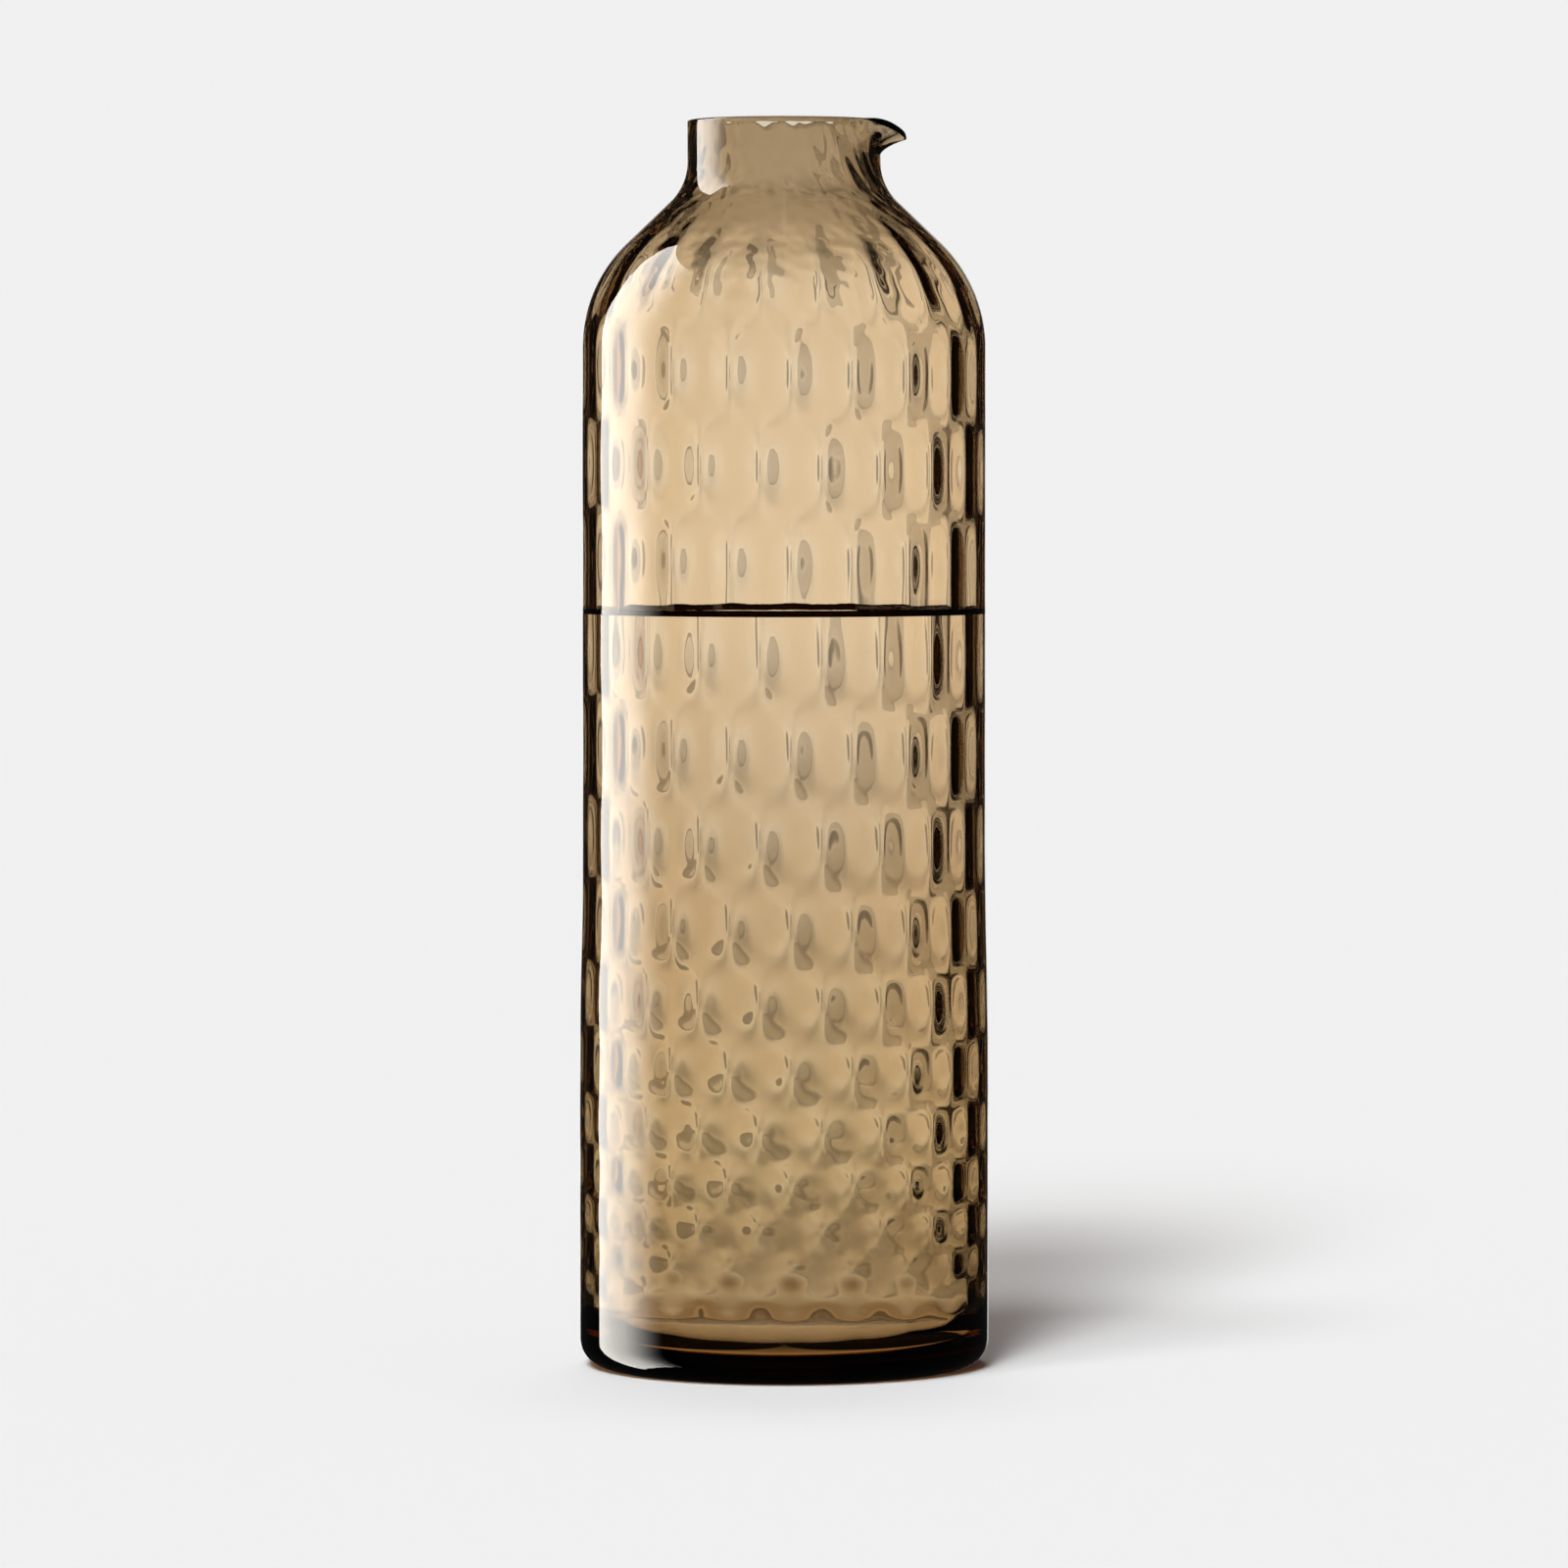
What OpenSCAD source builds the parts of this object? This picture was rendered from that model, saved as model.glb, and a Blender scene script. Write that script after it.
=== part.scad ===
// Tall blown glass carafe with a pulled spout, made in two sections that are joined at a seam.
// The origin is at the middle of the base where it rests. +Z is up and the spout points along +X.

/* [Body] */
// Height from the table to the rim
height = 280; // [250:1:340]
// Outer diameter of the straight part of the body
body_d = 90.6; // [84:0.2:96]
// Outer diameter low down, where the soft glass spread a little
foot_d = 92; // [84:0.2:98]
// Height at which the body starts to spread towards the foot
spread_top = 120; // [90:1:150]
// Height at which the spread is complete
spread_end = 66; // [30:1:80]
// Thickness of the blown wall
wall = 3.2; // [2.4:0.1:4]

/* [Base] */
// Thickness of the base where the floor is flat
base_t = 6; // [4:0.1:9]
// Outer radius of the bottom corner
corner_r = 6.5; // [3:0.1:9]
// Inner radius where the floor meets the wall
floor_r = 9; // [4:0.1:14]
// Width of the flat ring that the carafe rests on
rest_w = 7; // [4:0.1:14]
// Rise of the underside inside that ring
punt_rise = 1.5; // [0.5:0.1:2.5]

/* [Shoulder and neck] */
// Outer diameter of the neck
neck_d = 43.4; // [38:0.2:50]
// Length of the straight neck
neck_h = 9.5; // [9:0.1:18]
// Radius of the hollow curve under the neck
neck_fillet_r = 12; // [7:0.1:14]
// Angle between the sloping shoulder and the axis
shoulder_angle = 46.5; // [40:0.5:60]
// Radius of the round shoulder
shoulder_r = 33; // [20:0.1:35]

/* [Spout] */
// How far the spout reaches past the neck
spout_reach = 5.7; // [3:0.1:8]
// How far the top of its tip lies below the rim
spout_drop = 2.8; // [1:0.1:4]
// Height of the part of the neck that is pulled out
spout_h = 8.2; // [7:0.1:9]
// Angle that the spout takes up, each side of its middle
spout_angle = 38; // [25:1:44]
// Thickness of the pulled lip at its tip
spout_t = 2; // [1.5:0.1:2.4]

/* [Seam] */
// Height of the middle of the seam
seam_h = 170; // [155:1:200]
// Thickness of the ring of glass between the two sections
seam_t = 1.2; // [0.8:0.1:2]
// Radius of the bead that the ring makes on the inside
bead_r = 1.3; // [1.1:0.1:2]

/* [Hidden] */
$fn = 180;

// Steps in the arcs and curves of the outlines
corner_steps = 10;
curve_steps = 16;
// Steps of the rim round the spout, round the rest of the neck, up its wall and over its lip
spout_turns = 26;
rim_turns = 46;
rim_rises = 6;
lip_steps = 4;

body_r = body_d / 2;
foot_r = foot_d / 2;
neck_r = neck_d / 2;
lip_r = wall / 2;
rest_r = foot_r - corner_r;
punt_r = rest_r - rest_w;
// Radius of the sphere whose cap is the hollow under the base
punt_sphere_r = (punt_r * punt_r + punt_rise * punt_rise) / (2 * punt_rise);
punt_half_angle = asin(punt_r / punt_sphere_r);

// The hollow curve starts at the foot of the straight neck, and a straight slope joins it to the shoulder
neck_foot_h = height - neck_h;
curves_r = neck_fillet_r + shoulder_r;
slope_run = body_r - neck_r - curves_r * (1 - cos(shoulder_angle));
shoulder_h = neck_foot_h - curves_r * sin(shoulder_angle) - slope_run / tan(shoulder_angle);

// The spout starts at this height, and its lip curls over through this angle
spout_foot_h = height - spout_h;
curl_angle = 50;
// How sharply the edge of the spout dips towards its tip
dip_power = 2.5;
// Step by which the rim's flat facets keep inside the round faces of the neck below
facet_step = 0.03;
// Depth by which the rim is let into the round wall of the neck
rim_root = 0.6;

// Colours of the glass and of the darker seam
glass_colour = [0.62, 0.5, 0.36, 0.75];
seam_colour = [0.25, 0.19, 0.13, 0.9];

// Points on an arc in the plane of an outline, from one angle to another
function arc(centre, r, from, to, steps) =
    [for (i = [0:steps])
        let (a = from + (to - from) * i / steps)
        [centre.x + r * cos(a), centre.y + r * sin(a)]];

// Outer radius of the body at a height, with the soft spread towards the foot
function body_radius(z) =
    let (share = min(1, max(0, (spread_top - z) / (spread_top - spread_end))))
    body_r + (foot_r - body_r) * (1 - cos(180 * share)) / 2;

// Side of the spread from one height down to another, drawn in by an inset
function spread_side(inset) =
    [for (i = [0:curve_steps])
        let (z = spread_top + (spread_end - spread_top) * i / curve_steps)
        [body_radius(z) - inset, z]];

// Side of the lower section from the seam down to the foot
function lower_side(inset) =
    concat([[body_r - inset, seam_h - seam_t / 2]], spread_side(inset));

// Side of the upper section from the neck's foot down to the seam. The curves share their centres at
// every inset, so the wall has one thickness along them.
function upper_side(inset) =
    let (neck_curve = [neck_r + neck_fillet_r, neck_foot_h])
    let (shoulder_curve = [body_r - shoulder_r, shoulder_h])
    concat(
        arc(neck_curve, neck_fillet_r + inset, 180, 180 + shoulder_angle, curve_steps),
        arc(shoulder_curve, shoulder_r - inset, shoulder_angle, 0, curve_steps),
        [[body_r - inset, seam_h + seam_t / 2]]);

// The same points in the other order
function backwards(points) = [for (i = [len(points) - 1:-1:0]) points[i]];

// Share of the full pull at an angle from the middle of the spout
function pull(a) = abs(a) < spout_angle ? pow(cos(90 * a / spout_angle), 2) : 0;

// Middle of the pulled wall, from its foot (t = 0) to its tip (t = 1)
function pulled_middle(k, t) =
    let (tip_h = height - spout_drop * pow(k, dip_power) - lip_half(k, 1))
    let (reach = k * (spout_reach + lip_r - spout_t / 2))
    [neck_r - lip_r + reach * (1 - cos(curl_angle * t)) / (1 - cos(curl_angle)),
     spout_foot_h + (tip_h - spout_foot_h) * sin(curl_angle * t) / sin(curl_angle)];

// Half the thickness of the pulled wall
function lip_half(k, t) = lip_r - facet_step + (spout_t / 2 - lip_r) * k * t;

// Direction in which the pulled wall runs, as an angle
function pulled_heading(k, t) =
    let (step = 1 / (4 * rim_rises))
    let (a = pulled_middle(k, max(0, t - step)), b = pulled_middle(k, min(1, t + step)))
    atan2(b.y - a.y, b.x - a.x);

// A point of the pulled wall, off its middle at an angle from its heading
function pulled_point(k, t, turn) =
    let (a = pulled_heading(k, t) + turn, c = pulled_middle(k, t))
    [c.x + lip_half(k, t) * cos(a), c.y + lip_half(k, t) * sin(a)];

// Closed section of the rim: up its outer face, round the lip and down the inner face. It has no point
// level with the spout's foot, so that the top of the round wall is crossed cleanly.
function rim_section(k) =
    concat(
        [[neck_r - facet_step, spout_foot_h - rim_root]],
        [for (i = [1:rim_rises]) pulled_point(k, i / rim_rises, -90)],
        [for (i = [1:2 * lip_steps - 1]) pulled_point(k, 1, -90 + 90 * i / lip_steps)],
        [for (i = [rim_rises:-1:1]) pulled_point(k, i / rim_rises, 90)],
        [[neck_r - wall + facet_step, spout_foot_h - rim_root]]);

// Upright part of the neck with its melted rim and the pulled spout, as one skin round the mouth
module rim() {
    angles = concat(
        [for (i = [0:spout_turns - 1]) spout_angle * (2 * i / spout_turns - 1)],
        [for (i = [0:rim_turns - 1]) spout_angle + (360 - 2 * spout_angle) * i / rim_turns]);
    sections = [for (a = angles) rim_section(pull(a))];
    n = len(sections[0]);
    count = n * len(angles);
    points = [for (i = [0:len(angles) - 1], p = sections[i])
        [p.x * cos(angles[i]), p.x * sin(angles[i]), p.y]];
    skin = [for (i = [0:len(angles) - 1], j = [0:n - 1])
        let (a = i * n + j, b = i * n + (j + 1) % n)
        each [[a, b, (b + n) % count], [a, (b + n) % count, (a + n) % count]]];
    polyhedron(points = points, faces = skin, convexity = 4);
}

// Thick base and lower body, blown in one piece
module lower_section() {
    color(glass_colour)
    rotate_extrude()
    polygon(concat(
        lower_side(0),
        arc([rest_r, corner_r], corner_r, 0, -90, corner_steps),
        arc([0, punt_rise - punt_sphere_r], punt_sphere_r, 90 - punt_half_angle, 90, corner_steps),
        [[0, base_t]],
        arc([foot_r - wall - floor_r, base_t + floor_r], floor_r, -90, 0, corner_steps),
        backwards(lower_side(wall))));
}

// Dark ring of glass between the sections: flush outside, with a bead that laps over both edges inside
module seam_ring() {
    inner_r = body_r - wall;
    color(seam_colour)
    rotate_extrude()
    translate([0, seam_h])
    polygon(concat(
        [[body_r, -seam_t / 2], [body_r, seam_t / 2], [inner_r, seam_t / 2]],
        arc([inner_r, 0], bead_r, 90, 270, 2 * corner_steps),
        [[inner_r, -seam_t / 2]]));
}

// Upper body, shoulder, neck and pulled spout, blown in one piece
module upper_section() {
    color(glass_colour)
    union() {
        rotate_extrude()
        polygon(concat(
            [[neck_r, spout_foot_h]],
            upper_side(0),
            backwards(upper_side(wall)),
            [[neck_r - wall, spout_foot_h]]));
        rim();
    }
}

lower_section();
seam_ring();
upper_section();
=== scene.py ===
"""Looks of a tall blown glass carafe with a dimpled wall, a dark seam and a pulled spout.

Every length is in metres, +Z is up and the spout points along +X.
"""

import logging
import math
from dataclasses import dataclass, field
from enum import Enum
from functools import reduce
from typing import Callable, ClassVar, Union

import bmesh
import bpy
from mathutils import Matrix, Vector, noise


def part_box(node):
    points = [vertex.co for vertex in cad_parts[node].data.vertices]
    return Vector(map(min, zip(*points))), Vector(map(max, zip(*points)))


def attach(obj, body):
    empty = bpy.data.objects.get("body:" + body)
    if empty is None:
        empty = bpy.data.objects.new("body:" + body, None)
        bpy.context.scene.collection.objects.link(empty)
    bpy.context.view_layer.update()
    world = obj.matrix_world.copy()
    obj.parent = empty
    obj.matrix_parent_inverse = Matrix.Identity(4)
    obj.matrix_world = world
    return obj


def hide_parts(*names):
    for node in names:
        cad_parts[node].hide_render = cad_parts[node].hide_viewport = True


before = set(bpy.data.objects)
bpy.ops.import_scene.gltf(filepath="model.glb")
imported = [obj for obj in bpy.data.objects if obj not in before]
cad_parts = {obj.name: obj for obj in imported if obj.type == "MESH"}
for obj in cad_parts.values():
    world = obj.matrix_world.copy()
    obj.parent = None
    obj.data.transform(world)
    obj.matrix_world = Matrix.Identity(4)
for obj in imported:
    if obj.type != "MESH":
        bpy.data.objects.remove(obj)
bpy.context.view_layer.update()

LOG = logging.getLogger("carafe")
MM = 0.001
FULL_TURN = 2 * math.pi
BODY = "root"

Point = tuple[float, float]
Colour = tuple[float, float, float]
Value = Union[bpy.types.NodeSocket, float]


class Slot(Enum):
    """Material slots of the record."""

    BODY = "body_glass"
    SEAM = "seam_glass"


def smooth_share(value: float, start: float, end: float) -> float:
    """Share of the way from start to end, eased at both ends.

    Args:
        value: Where to measure.
        start: The value at which the share is 0.
        end: The value at which the share is 1.

    Returns:
        The eased share, from 0 to 1.
    """
    share = min(1.0, max(0.0, (value - start) / (end - start)))
    return share * share * (3 - 2 * share)


def arc(centre: Point, radius: float, start: float, end: float, steps: int) -> list[Point]:
    """Points on an arc in the plane of an outline.

    Args:
        centre: Middle of the arc, as radius and height.
        radius: Radius of the arc.
        start: Angle of the first point, in degrees.
        end: Angle of the last point, in degrees.
        steps: Number of steps between them.

    Returns:
        The points in order, both ends included.
    """
    angles = [math.radians(start + (end - start) * i / steps) for i in range(steps + 1)]
    return [(centre[0] + radius * math.cos(a), centre[1] + radius * math.sin(a)) for a in angles]


def link_mesh(name: str, mesh: bmesh.types.BMesh) -> bpy.types.Object:
    """Makes an object of a finished mesh.

    Args:
        name: Name of the object and of its data.
        mesh: The mesh, which is freed.

    Returns:
        The new object, linked to the scene.
    """
    data = bpy.data.meshes.new(name)
    mesh.to_mesh(data)
    mesh.free()
    made = bpy.data.objects.new(name, data)
    bpy.context.scene.collection.objects.link(made)
    return made


@dataclass(frozen=True)
class VesselSizes:
    """Sizes that the pieces share, the driving ones taken from the frame's boxes."""

    height: float
    body_r: float
    foot_r: float
    seam_low: float
    seam_high: float
    wall: float = 3.2 * MM
    # Heights at which the body starts to spread towards the foot, and at which it has done so
    spread_top: float = 120 * MM
    spread_end: float = 66 * MM
    # Clearance that keeps the sections and the ring from sharing a face
    seam_gap: float = 0.02 * MM
    # Longest steps along the outline of the inner and the outer wall
    inner_step: float = 1.13 * MM
    outer_step: float = 2.8 * MM

    @classmethod
    def from_frame(cls) -> "VesselSizes":
        """Reads the overall sizes from the boxes of the CAD nodes.

        Returns:
            The sizes, with radii that stay inside the faceted boxes on both axes.
        """
        low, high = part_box("lower_section"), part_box("upper_section")
        return cls(
            height=high[1].z,
            body_r=min(high[1].x, high[1].y),
            foot_r=min(low[1].x, low[1].y),
            seam_low=low[1].z,
            seam_high=high[0].z,
        )

    def outer_r(self, height: float) -> float:
        """Outer radius of the body at a height, with the soft spread towards the foot.

        Args:
            height: Height above the table.

        Returns:
            The radius.
        """
        share = min(1.0, max(0.0, (self.spread_top - height) / (self.spread_top - self.spread_end)))
        return self.body_r + (self.foot_r - self.body_r) * ((1 - math.cos(math.pi * share)) / 2)

    def inner_r(self, height: float) -> float:
        """Inner radius of the body at a height, before the dimples."""
        return self.outer_r(height) - self.wall


@dataclass(frozen=True)
class DimpleRow:
    """One row of dimples, with half the height of a dimple and the row's shift in columns."""

    height: float
    half_height: float
    shift: float


@dataclass(frozen=True)
class DimplePattern:
    """Upright creased dimples in the inner wall, in staggered rows that crowd together towards the base."""

    columns: int = 20
    first_column: float = math.radians(2.06)
    # Depth before the crease rounds off the middle, and how the sides and the ends rise from it
    depth: float = 1.53 * MM
    crease: float = 0.24
    flank_power: float = 2.0
    end_power: float = 1.5
    # Half a dimple's height as a share of the distance between rows
    half_height_share: float = 0.6
    # Height up to which the dimples grow from nothing, and how much shallower crowded ones are
    full_depth_height: float = 40 * MM
    shallowing: float = 0.16
    # Heights between which the dimples fade out over the shoulder
    shoulder: tuple[float, float] = (246 * MM, 264 * MM)
    # Height of the seam, and the distance over which the dimples next to it are held back
    seam: float = 170.6 * MM
    seam_hold: float = 5 * MM
    # Distance between rows, the height below which it shrinks, and how fast
    full_pitch: float = 21 * MM
    full_pitch_height: float = 135 * MM
    crowding: float = 0.6
    lowest: float = 12 * MM
    highest: float = 262 * MM
    # Drop of the rows for each metre towards the spout
    drop_share: float = 0.025

    def pitch(self, height: float) -> float:
        """Distance between rows at a height."""
        return self.full_pitch * min(1.0, max(0.0, height / self.full_pitch_height)) ** self.crowding

    def rows(self) -> list[DimpleRow]:
        """Rows of dimples from the seam outwards.

        Returns:
            The rows above the seam upwards, then those below it downwards.
        """
        found: list[DimpleRow] = []
        for way, first_shift in ((1, 0.0), (-1, 0.5)):
            height = self.seam + way * self.pitch(self.seam) / 2
            shift = first_shift
            while self.lowest < height < self.highest:
                found.append(DimpleRow(height, self.half_height_share * self.pitch(height), shift))
                height += way * self.pitch(height + way * self.pitch(height) / 2)
                shift = 0.5 - shift
        return found

    def depth_at(self, place: Vector, rows: list[DimpleRow]) -> float:
        """Depth of the dimples at a place on the inner wall.

        Args:
            place: The place, in the carafe's own frame.
            rows: What rows() gives.

        Returns:
            How far the wall is hollowed there.
        """
        column = (math.atan2(place.y, place.x) - self.first_column) / FULL_TURN * self.columns
        over = place.z - self.seam
        held = (over ** 4 + self.seam_hold ** 4) ** 0.25
        level = self.seam + math.copysign(held, over) + self.drop_share * place.x
        hollow = 0.0
        for row in rows:
            up = (level - row.height) / row.half_height
            if abs(up) < 1:
                off = column - row.shift
                across = min(1.0, math.hypot(2 * (off - round(off)), self.crease))
                hollow += (1 - across) ** self.flank_power * (1 - up * up) ** self.end_power
        crowded = (self.pitch(place.z) / self.full_pitch) ** self.shallowing
        fade = smooth_share(place.z, 0, self.full_depth_height) * (1 - smooth_share(place.z, *self.shoulder))
        return self.depth * min(1.0, hollow) * crowded * fade


@dataclass(frozen=True)
class NeckRipples:
    """Fine slanted cords that run down the inside of the neck and fade out over the shoulder."""

    depth: float = 0.17 * MM
    across: float = 2.4 * MM
    along: float = 30 * MM
    slant: float = 0.35
    start: float = 222 * MM
    full: float = 252 * MM
    seed: float = 7.3

    def depth_at(self, place: Vector) -> float:
        """Height of the ripples at a place on the inner wall.

        Args:
            place: The place, in the carafe's own frame.

        Returns:
            How far the wall is hollowed there, negative where it stands proud.
        """
        share = smooth_share(place.z, self.start, self.full)
        if share == 0:
            return 0.0
        run = place.z * self.slant
        across = (place.xy + Vector((run, run))) / self.across
        return self.depth * share * noise.noise(Vector((*across, self.seed + place.z / self.along)))


@dataclass(frozen=True)
class SpoutPull:
    """The way that the hot rim was pulled out into a spout."""

    neck_r: float
    wall: float
    rim_h: float
    reach: float = 5.7 * MM
    drop: float = 2.8 * MM
    foot_drop: float = 8.2 * MM
    half_angle: float = math.radians(38)
    tip_thickness: float = 2.0 * MM
    curl: float = math.radians(50)
    dip_power: float = 2.5
    # Share of the way up over which the direction of the pulled wall is measured
    heading_step: float = 0.04

    def share(self, angle: float) -> float:
        """Share of the full pull at an angle from the middle of the spout.

        Args:
            angle: The angle, in radians.

        Returns:
            The share, 1 in the middle and 0 beside the spout.
        """
        if abs(angle) >= self.half_angle:
            return 0.0
        return math.cos(math.pi / 2 * angle / self.half_angle) ** 2

    def half_thickness(self, pull: float, along: float) -> float:
        """Half the thickness of the pulled wall at a share of the way to its edge."""
        return self.wall / 2 + (self.tip_thickness / 2 - self.wall / 2) * pull * along

    def middle(self, pull: float, along: float) -> Vector:
        """Middle of the pulled wall.

        Args:
            pull: Share of the full pull.
            along: Share of the way from the spout's foot to its edge.

        Returns:
            The point, as radius and height.
        """
        foot_h = self.rim_h - self.foot_drop
        tip_h = self.rim_h - self.drop * pull ** self.dip_power - self.half_thickness(pull, 1)
        reach = pull * (self.reach + self.wall / 2 - self.tip_thickness / 2)
        out = (1 - math.cos(self.curl * along)) / (1 - math.cos(self.curl))
        up = math.sin(self.curl * along) / math.sin(self.curl)
        return Vector((self.neck_r - self.wall / 2 + reach * out, foot_h + (tip_h - foot_h) * up))

    def moved(self, place: Vector) -> Vector:
        """Moves a point of the plain neck to where the pull took it.

        Args:
            place: The point on the plain neck.

        Returns:
            The point on the pulled spout, never above the rim.
        """
        angle = math.atan2(place.y, place.x)
        pull = self.share(angle)
        foot_h = self.rim_h - self.foot_drop
        if pull == 0 or place.z <= foot_h:
            return place
        plain_tip = self.middle(0, 1)
        up = min(1.0, (place.z - foot_h) / (plain_tip.y - foot_h))
        along = math.asin(up * math.sin(self.curl)) / self.curl
        across = Vector((math.hypot(place.x, place.y) - plain_tip.x, max(0.0, place.z - plain_tip.y)))
        ahead = self.middle(pull, min(1.0, along + self.heading_step))
        behind = self.middle(pull, max(0.0, along - self.heading_step))
        heading = (ahead - behind).normalized()
        thinning = self.half_thickness(pull, along) / (self.wall / 2)
        sideways = Vector((heading.y, -heading.x))
        spot = self.middle(pull, along) + thinning * (across.x * sideways + across.y * heading)
        return Vector((spot.x * math.cos(angle), spot.x * math.sin(angle), min(spot.y, self.rim_h)))


@dataclass
class TurnedShell:
    """A closed shape turned round the axis from an outline, with relief on its inner and outer walls."""

    name: str
    columns: int = 20
    turns_per_column: int = 18
    # Share of the relief that shows on the outer wall
    outer_share: float = 0.07
    # How far a normal must lean out or in for its wall to count as upright
    upright: float = 0.3
    sharp_angle: float = math.radians(40)
    merge_distance: float = 0.002 * MM
    outline: list[Point] = field(default_factory=list)

    def add(self, points: list[Point], step: float = 0.0) -> None:
        """Appends points to the outline, with more between them where they are far apart.

        Args:
            points: Points as radius and height.
            step: Longest distance to leave between neighbours, or 0 to add no more.
        """
        for here, there in zip(points, points[1:]):
            cuts = int(math.dist(here, there) / step) if step else 0
            self.outline += [tuple(Vector(here).lerp(there, i / (cuts + 1))) for i in range(cuts + 1)]
        self.outline.append(points[-1])

    def build(self, relief: Callable[[Vector], float], move: Callable[[Vector], Vector]) -> bpy.types.Object:
        """Turns the outline into a closed mesh and shapes its walls.

        Args:
            relief: Depth to which the inner wall is hollowed at a place. The outer wall gets a share of it.
            move: Where a point of the finished wall is taken.

        Returns:
            The new object, linked to the scene.
        """
        mesh = bmesh.new()
        ring = [mesh.verts.new((radius, 0, height)) for radius, height in self.outline]
        for here, there in zip(ring, ring[1:]):
            mesh.edges.new((here, there))
        if self.outline[0][0] > 0:
            mesh.edges.new((ring[-1], ring[0]))
        self._turn(mesh)
        for vert, depth in [(vert, self._share(vert) * relief(vert.co)) for vert in mesh.verts]:
            vert.co.xy -= vert.normal.xy.normalized() * depth
        for vert in mesh.verts:
            vert.co = move(vert.co)
        for face in mesh.faces:
            face.smooth = True
        for edge in mesh.edges:
            edge.smooth = edge.calc_face_angle(0) < self.sharp_angle
        return link_mesh(self.name, mesh)

    def _share(self, vert: bmesh.types.BMVert) -> float:
        """Share of the relief that a point takes, by the way that its wall faces.

        Args:
            vert: The point, with its normal up to date.

        Returns:
            1 on the inner wall, a small share on the outer wall and 0 on level faces.
        """
        out = vert.co.xy.length
        facing = vert.normal.xy.dot(vert.co.xy) / out if out > 0 else 0.0
        if facing < -self.upright:
            return 1.0
        return self.outer_share if facing > self.upright else 0.0

    def _turn(self, mesh: bmesh.types.BMesh) -> None:
        """Turns the outline through one column, and repeats that column round the axis.

        Args:
            mesh: The mesh that holds the outline.
        """
        column = FULL_TURN / self.columns
        turn = {"cent": (0, 0, 0), "axis": (0, 0, 1)}
        outline = mesh.verts[:] + mesh.edges[:]
        bmesh.ops.spin(mesh, geom=outline, angle=column, steps=self.turns_per_column, use_merge=False, **turn)
        sector = mesh.verts[:] + mesh.edges[:] + mesh.faces[:]
        rest, copies = FULL_TURN - column, self.columns - 1
        bmesh.ops.spin(mesh, geom=sector, angle=rest, steps=copies, use_duplicate=True, **turn)
        bmesh.ops.remove_doubles(mesh, verts=mesh.verts[:], dist=self.merge_distance)
        bmesh.ops.recalc_face_normals(mesh, faces=mesh.faces[:])
        mesh.normal_update()


def fill_ramp(ramp: bpy.types.ColorRamp, stops: list[tuple[float, Colour]]) -> None:
    """Gives a new ramp its stops.

    Args:
        ramp: The ramp.
        stops: Places from 0 to 1 in order, with a colour each.
    """
    for place, _ in stops[1:-1]:
        ramp.elements.new(place)
    for element, (place, colour) in zip(ramp.elements, stops):
        element.position = place
        element.color = (*colour, 1)


def fill_grey_ramp(ramp: bpy.types.ColorRamp, stops: list[Point]) -> None:
    """Gives a new ramp its stops, as places from 0 to 1 with a grey each."""
    fill_ramp(ramp, [(place, (share, share, share)) for place, share in stops])


@dataclass(frozen=True)
class SurfaceWaves:
    """Shader group with the faint unevenness of a surface that was blown and not polished."""

    group_name: str = "blown_surface_waves"
    broad_scale: float = 60.0
    fine_scale: float = 400.0
    fine_share: float = 0.2
    trough_tint: Colour = (0.97, 0.96, 0.94)
    crest_tint: Colour = (1.0, 1.0, 1.0)

    def build(self) -> bpy.types.ShaderNodeTree:
        """Builds the group.

        Returns:
            A group that takes two scales and a share, and puts out a height and a tint.
        """
        tree = bpy.data.node_groups.new(self.group_name, "ShaderNodeTree")
        for label, value in (("Broad Scale", self.broad_scale), ("Fine Scale", self.fine_scale),
                             ("Fine Share", self.fine_share)):
            socket = tree.interface.new_socket(name=label, in_out="INPUT", socket_type="NodeSocketFloat")
            socket.default_value = value
        tree.interface.new_socket(name="Height", in_out="OUTPUT", socket_type="NodeSocketFloat")
        tree.interface.new_socket(name="Tint", in_out="OUTPUT", socket_type="NodeSocketColor")
        nodes, links = tree.nodes, tree.links
        given, out = nodes.new("NodeGroupInput"), nodes.new("NodeGroupOutput")
        place = nodes.new("ShaderNodeTexCoord")
        broad, fine = nodes.new("ShaderNodeTexNoise"), nodes.new("ShaderNodeTexNoise")
        for texture, label in ((broad, "Broad Scale"), (fine, "Fine Scale")):
            links.new(place.outputs["Object"], texture.inputs["Vector"])
            links.new(given.outputs[label], texture.inputs["Scale"])
        share = nodes.new("ShaderNodeMath")
        share.operation = "MULTIPLY"
        links.new(fine.outputs["Fac"], share.inputs[0])
        links.new(given.outputs["Fine Share"], share.inputs[1])
        total = nodes.new("ShaderNodeMath")
        links.new(broad.outputs["Fac"], total.inputs[0])
        links.new(share.outputs[0], total.inputs[1])
        links.new(total.outputs[0], out.inputs["Height"])
        tint = nodes.new("ShaderNodeValToRGB")
        fill_ramp(tint.color_ramp, [(0.0, self.trough_tint), (1.0, self.crest_tint)])
        links.new(broad.outputs["Fac"], tint.inputs["Fac"])
        links.new(tint.outputs["Color"], out.inputs["Tint"])
        return tree


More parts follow.
